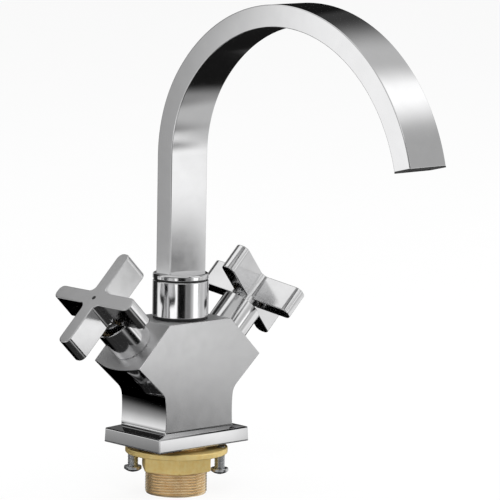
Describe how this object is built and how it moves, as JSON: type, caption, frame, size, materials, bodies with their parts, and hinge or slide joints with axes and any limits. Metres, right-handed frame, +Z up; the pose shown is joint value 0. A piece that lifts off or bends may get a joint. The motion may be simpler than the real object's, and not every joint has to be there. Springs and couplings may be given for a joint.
{
  "type": "two handle kitchen faucet",
  "caption": "Deck mounted mixer faucet: slab sided body, flat swan neck swivel spout, cross handles on sloping valves, threaded shank with flange nut below.",
  "frame": {"origin": "centre of the mounting shank at deck level, on the underside of the base plate", "axes": "+Z up along the shank, +X to the right hand handle, -Y forward along the spout at rest"},
  "size_m": [0.1595, 0.214, 0.267],
  "materials": {
    "body_chrome": "polished chrome plate on cast brass",
    "spout_chrome": "polished chrome plate on drawn brass tube",
    "collar_chrome": "polished chrome plate on turned brass",
    "handle_chrome": "polished chrome plate on cast zinc",
    "sleeve_chrome": "polished chrome plate on turned brass",
    "shank_brass": "turned brass thread, slightly tarnished",
    "nut_brass": "sand cast and faced brass",
    "valve_brass": "machined brass",
    "zinc_steel": "bright zinc plated steel",
    "disc_ceramic": "lapped alumina",
    "nylon": "natural nylon",
    "outlet_plastic": "black moulded plastic",
    "index_plastic": "black moulded plastic",
    "slip_plastic": "black moulded plastic",
    "seal_rubber": "moulded black rubber"
  },
  "bodies": {
    "root": {"body_casting": "body_chrome", "base_gasket": "seal_rubber", "mounting_shank": "shank_brass", "collar_nut": "collar_chrome", "collar_seat_ring": "seal_rubber", "slip_ring": "slip_plastic", "thrust_washer": "nylon", "left_sleeve": "sleeve_chrome", "left_cartridge": "valve_brass", "left_cartridge_o_ring": "seal_rubber", "left_seat_seal": "seal_rubber", "left_fixed_disc": "disc_ceramic", "right_sleeve": "sleeve_chrome", "right_cartridge": "valve_brass", "right_cartridge_o_ring": "seal_rubber", "right_seat_seal": "seal_rubber", "right_fixed_disc": "disc_ceramic"},
    "left_handle": {"left_cross_handle": "handle_chrome", "left_grub_screw": "zinc_steel", "left_index_button": "index_plastic", "left_spindle": "valve_brass", "left_spindle_o_ring": "seal_rubber", "left_spindle_clip": "zinc_steel", "left_moving_disc": "disc_ceramic"},
    "right_handle": {"right_cross_handle": "handle_chrome", "right_grub_screw": "zinc_steel", "right_index_button": "index_plastic", "right_spindle": "valve_brass", "right_spindle_o_ring": "seal_rubber", "right_spindle_clip": "zinc_steel", "right_moving_disc": "disc_ceramic"},
    "spout": {"spout_tube": "spout_chrome", "spout_foot": "collar_chrome", "spout_o_rings": "seal_rubber", "outlet_insert": "outlet_plastic"},
    "nut": {"flange_nut": "nut_brass"},
    "left_screw": {"left_clamp_screw": "zinc_steel"},
    "right_screw": {"right_clamp_screw": "zinc_steel"}
  },
  "joints": [
    {"name": "left_handle_turn", "type": "hinge", "parent": "root", "child": "left_handle", "pos_m": [-0.0321, 0, 0.0561], "axis": [-0.7071, 0, 0.7071], "range_deg": [0, 90]},
    {"name": "right_handle_turn", "type": "hinge", "parent": "root", "child": "right_handle", "pos_m": [0.0321, 0, 0.0561], "axis": [0.7071, 0, 0.7071], "range_deg": [-90, 0]},
    {"name": "spout_swivel", "type": "hinge", "parent": "root", "child": "spout", "pos_m": [0, -0.0015, 0.08], "axis": [0, 0, 1], "continuous": true},
    {"name": "flange_nut_travel", "type": "slide", "parent": "root", "child": "nut", "axis": [0, 0, -1], "range_m": [0, 0.01]},
    {"name": "left_clamp_screw_travel", "type": "slide", "parent": "nut", "child": "left_screw", "axis": [0, 0, -1], "range_m": [0, 0.0025]},
    {"name": "right_clamp_screw_travel", "type": "slide", "parent": "nut", "child": "right_screw", "axis": [0, 0, -1], "range_m": [0, 0.0025]}
  ]
}
